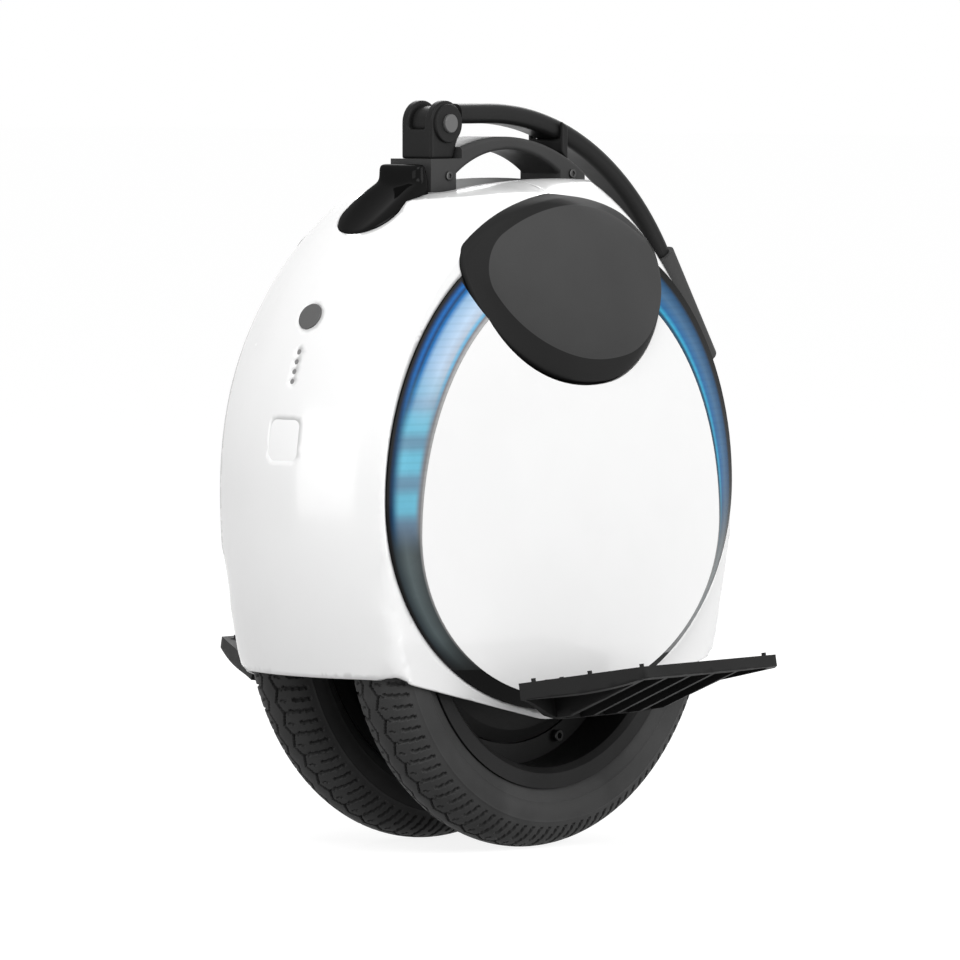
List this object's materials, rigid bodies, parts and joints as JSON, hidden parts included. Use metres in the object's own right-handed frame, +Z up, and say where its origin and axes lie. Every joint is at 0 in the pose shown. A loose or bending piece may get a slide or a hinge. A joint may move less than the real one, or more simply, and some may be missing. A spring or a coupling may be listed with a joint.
{
  "type": "electric unicycle",
  "caption": "Self-balancing electric unicycle: crowned white shell over side-by-side tyres on a hub motor, lit side rings, knee pads, fold-up footrests, carry handle and folding trolley pole.",
  "frame": {"origin": "on the ground under the middle of the whole length, on the middle plane; the axle stands 20 mm forward of it", "axes": "+X forward (headlight end), +Y to the rider's left, +Z up"},
  "size_m": [0.4469, 0.4014, 0.5224],
  "materials": {
    "white_shell": "gloss white moulding",
    "black_plastic": "satin black moulding",
    "gloss_black": "piano black moulding",
    "grey_plastic": "satin dark grey",
    "light_lens": "smoked light guide",
    "light_strip": "light strip",
    "lamp_lens": "opal lens",
    "tail_lens": "red lens",
    "circuit_board": "circuit board",
    "pad_rubber": "soft satin knee pad",
    "black_tube": "satin black tube",
    "grip_rubber": "matte rubber",
    "battery_wrap": "shrink wrap",
    "bare_aluminium": "extruded",
    "black_aluminium": "black coated casting",
    "pedal_black": "black glass-filled moulding",
    "steel": "plain",
    "dark_steel": "blackened",
    "stator_iron": "laminated iron",
    "tyre": "moulded tread"
  },
  "bodies": {
    "chassis": {"front_shell": "white_shell", "rear_shell": "white_shell", "grip_well": "black_plastic", "left_side_plate": "black_plastic", "right_side_plate": "black_plastic", "left_light_ring": "light_lens", "right_light_ring": "light_lens", "left_led_strip": "light_strip", "right_led_strip": "light_strip", "left_lower_trim": "gloss_black", "right_lower_trim": "gloss_black", "left_side_panel": "white_shell", "right_side_panel": "white_shell", "left_knee_pad": "pad_rubber", "right_knee_pad": "pad_rubber", "headlight_lens": "lamp_lens", "tail_light_lens": "tail_lens", "lamp_boards": "circuit_board", "battery_gauge": "grey_plastic", "button_switch": "black_plastic", "front_scoop": "gloss_black", "carry_handle": "black_plastic", "handle_screws": "dark_steel", "pole_bracket": "black_plastic", "hinge_pin": "steel", "hinge_cap": "black_plastic", "pole_clip": "black_plastic", "wheel_liner": "black_plastic", "front_battery": "battery_wrap", "rear_battery": "battery_wrap", "heat_sink": "bare_aluminium", "control_board": "circuit_board", "charge_socket": "black_plastic", "left_hanger": "black_aluminium", "right_hanger": "black_aluminium", "pedal_pins": "steel", "hanger_screws": "dark_steel", "axle_nuts": "steel", "axle": "steel", "axle_spacers": "steel", "stator": "stator_iron"},
    "wheel": {"left_tyre": "tyre", "right_tyre": "tyre", "left_rim": "black_aluminium", "right_rim": "black_aluminium", "motor_drum": "black_aluminium", "magnet_ring": "stator_iron", "left_motor_cover": "black_aluminium", "right_motor_cover": "black_aluminium", "bearings": "steel", "motor_bolts": "dark_steel", "valve_stems": "steel"},
    "left_footrest": {"left_pedal": "pedal_black"},
    "right_footrest": {"right_pedal": "pedal_black"},
    "pole": {"pole_tube": "black_tube", "pole_grip": "grip_rubber"},
    "button": {"power_button": "grey_plastic"},
    "release": {"hinge_release": "grey_plastic"},
    "charge_flap": {"charge_cap": "grip_rubber"}
  },
  "joints": [
    {"name": "wheel_spin", "type": "hinge", "parent": "chassis", "child": "wheel", "pos_m": [0.02, 0, 0.178], "axis": [0, 1, 0], "continuous": true},
    {"name": "left_pedal_fold", "type": "hinge", "parent": "chassis", "child": "left_footrest", "pos_m": [0.02, 0.097, 0.113], "axis": [1, 0, 0], "range_deg": [0, 78]},
    {"name": "right_pedal_fold", "type": "hinge", "parent": "chassis", "child": "right_footrest", "pos_m": [0.02, -0.097, 0.113], "axis": [-1, 0, 0], "range_deg": [0, 78]},
    {"name": "pole_fold", "type": "hinge", "parent": "chassis", "child": "pole", "pos_m": [0.0703, 0, 0.5064], "axis": [0, 1, 0], "range_deg": [0, 115]},
    {"name": "power_press", "type": "slide", "parent": "chassis", "child": "button", "axis": [-0.8846, 0, -0.4663], "range_m": [0, 0.0015], "stiffness_N_per_m": 1200},
    {"name": "release_press", "type": "slide", "parent": "chassis", "child": "release", "axis": [0, -1, 0], "range_m": [0, 0.0018], "stiffness_N_per_m": 1500},
    {"name": "charge_cap_hinge", "type": "hinge", "parent": "chassis", "child": "charge_flap", "pos_m": [-0.18458, 0, 0.3139], "axis": [0, 1, 0], "range_deg": [0, 95]}
  ]
}
